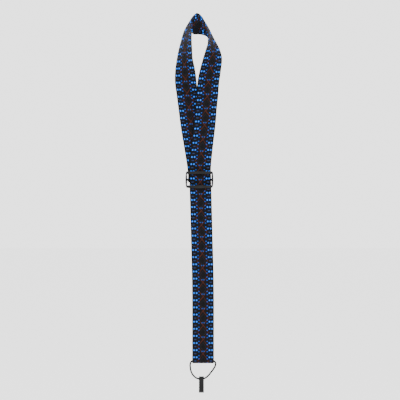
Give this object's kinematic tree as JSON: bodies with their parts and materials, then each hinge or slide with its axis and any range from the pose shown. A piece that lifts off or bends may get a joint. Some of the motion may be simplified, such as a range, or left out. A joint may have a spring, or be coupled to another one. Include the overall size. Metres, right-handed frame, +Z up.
{
  "type": "saxophone neck strap",
  "caption": "Patterned webbing neck loop with a sliding tri-glide adjuster, a hemmed tail, a cord loop and a J-shaped instrument hook.",
  "frame": {"origin": "top of the neck loop, where the strap hangs on the back of the neck", "axes": "+Z up along the hanging strap, -Y to the front, towards the viewer of the patterned side"},
  "size_m": [0.0831, 0.0396, 0.6666],
  "materials": {
    "ribbon": "woven jacquard, black with blue and rust figure",
    "backing": "plain light grey woven band",
    "plastic": "black moulded, semi-gloss",
    "cord": "black braided cord",
    "thread": "black sewing thread",
    "label": "plain dark woven label, blank"
  },
  "bodies": {
    "root": {"left_leg_lower_ribbon": "ribbon", "left_leg_lower_backing": "backing", "left_leg_upper_ribbon": "ribbon", "left_leg_upper_backing": "backing", "nape_band": "ribbon", "nape_label": "label", "right_leg_ribbon": "ribbon", "right_leg_backing": "backing", "tail_ribbon": "ribbon", "tail_backing": "backing", "hem_ribbon": "ribbon", "hem_backing": "backing", "hem_thread": "thread"},
    "slider": {"slider_frame": "plastic", "fixed_end_ribbon": "ribbon", "fixed_end_backing": "backing", "fixed_end_upper_thread": "thread", "fixed_end_lower_thread": "thread"},
    "cord": {"hook_cord": "cord"},
    "hook": {"hook": "plastic"}
  },
  "joints": [
    {"name": "slider_slide", "type": "slide", "parent": "root", "child": "slider", "axis": [-0.0255, 0, 0.9997], "range_m": [-0.1, 0], "deforming": ["left_leg_lower_ribbon", "left_leg_lower_backing"]},
    {"name": "cord_swing", "type": "hinge", "parent": "root", "child": "cord", "pos_m": [0.0106, 0.0012, -0.6105], "axis": [1, 0, 0], "range_deg": [-85, 85]},
    {"name": "hook_swing", "type": "hinge", "parent": "cord", "child": "hook", "pos_m": [0.0077, 0.0012, -0.6424], "axis": [1, 0, 0], "range_deg": [-80, 80]}
  ]
}
